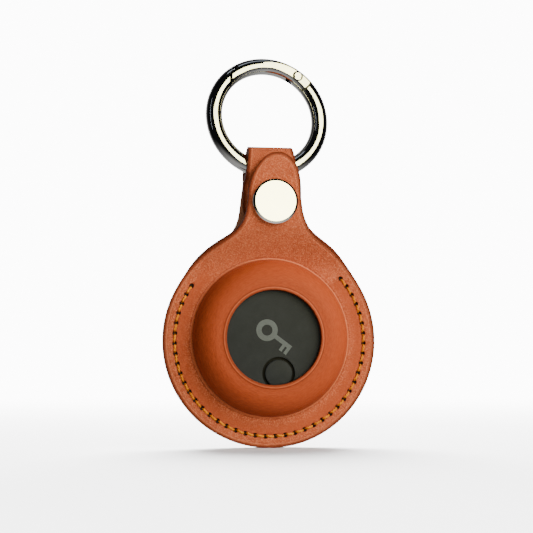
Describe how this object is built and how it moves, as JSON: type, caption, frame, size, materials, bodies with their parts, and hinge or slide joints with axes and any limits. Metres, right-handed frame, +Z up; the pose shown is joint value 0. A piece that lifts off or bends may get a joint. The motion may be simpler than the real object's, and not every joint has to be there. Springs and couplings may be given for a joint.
{
  "type": "tracker tag holder",
  "caption": "Stitched leather pouch that holds a round tracker tag behind a window and hangs by a folded strap, closed with a snap, from a spring gate ring.",
  "frame": {"origin": "the ring's inner top, the point that rests on the hook or key ring it hangs from", "axes": "+Z up along the hanging holder, -Y towards the front with the tag's window, +X to the right seen from the front"},
  "size_m": [0.05, 0.0148, 0.093],
  "materials": {
    "leather": "fine-grained tan leather, satin",
    "thread": "twisted golden brown sewing thread",
    "gunmetal": "polished dark nickel plate",
    "nickel": "polished nickel plate",
    "spring_steel": "drawn spring steel",
    "tag_plastic": "moulded charcoal plastic, matte",
    "rubber": "soft black rubber",
    "circuit_green": "green lacquered circuit board",
    "chip_black": "moulded black epoxy",
    "brass": "plain rolled brass"
  },
  "bodies": {
    "ring": {"ring_body": "gunmetal", "gate_pivot_pin": "gunmetal", "gate_spring": "spring_steel"},
    "gate": {"ring_gate": "gunmetal"},
    "pouch": {"back_panel": "leather", "front_panel": "leather", "needle_thread": "thread", "bobbin_thread": "thread", "snap_post": "nickel", "snap_stud": "nickel"},
    "tongue": {"front_tongue": "leather", "snap_cap": "nickel", "snap_socket": "nickel", "socket_spring": "spring_steel"},
    "tag": {"tag_front_shell": "tag_plastic", "seal_ring": "rubber", "coin_cell": "nickel", "battery_contact_negative": "spring_steel", "battery_clip_positive": "spring_steel", "circuit_board": "circuit_green", "radio_chip": "chip_black", "buzzer_disc": "brass", "tact_switch": "spring_steel"},
    "button": {"tag_button": "tag_plastic"},
    "cover": {"battery_cover": "tag_plastic"}
  },
  "joints": [
    {"name": "gate_swing", "type": "hinge", "parent": "ring", "child": "gate", "pos_m": [0.00762, 0.00086, -0.00054], "axis": [0.1205, -0.9816, 0.1478], "range_deg": [0, 27], "stiffness_Nm_per_rad": 0.05, "springref_deg": -34.38, "deforming": ["gate_spring"]},
    {"name": "loop_swing", "type": "hinge", "parent": "ring", "child": "pouch", "pos_m": [0.00044, -0.00342, -0.02303], "axis": [1, 0, 0], "range_deg": [-90, 55]},
    {"name": "tongue_peel", "type": "hinge", "parent": "pouch", "child": "tongue", "pos_m": [0.00044, -0.00723, -0.04265], "axis": [1, 0, 0], "range_deg": [0, 90]},
    {"name": "tag_turn", "type": "hinge", "parent": "pouch", "child": "tag", "pos_m": [0.00044, -0.00357, -0.06365], "axis": [0, 1, 0], "continuous": true},
    {"name": "button_press", "type": "slide", "parent": "tag", "child": "button", "axis": [0, 1, 0], "range_m": [0, 0.0003], "stiffness_N_per_m": 400, "springref_m": -0.001},
    {"name": "cover_twist", "type": "hinge", "parent": "tag", "child": "cover", "pos_m": [0.00044, -0.00357, -0.06365], "axis": [0, 1, 0], "range_deg": [0, 35]}
  ]
}
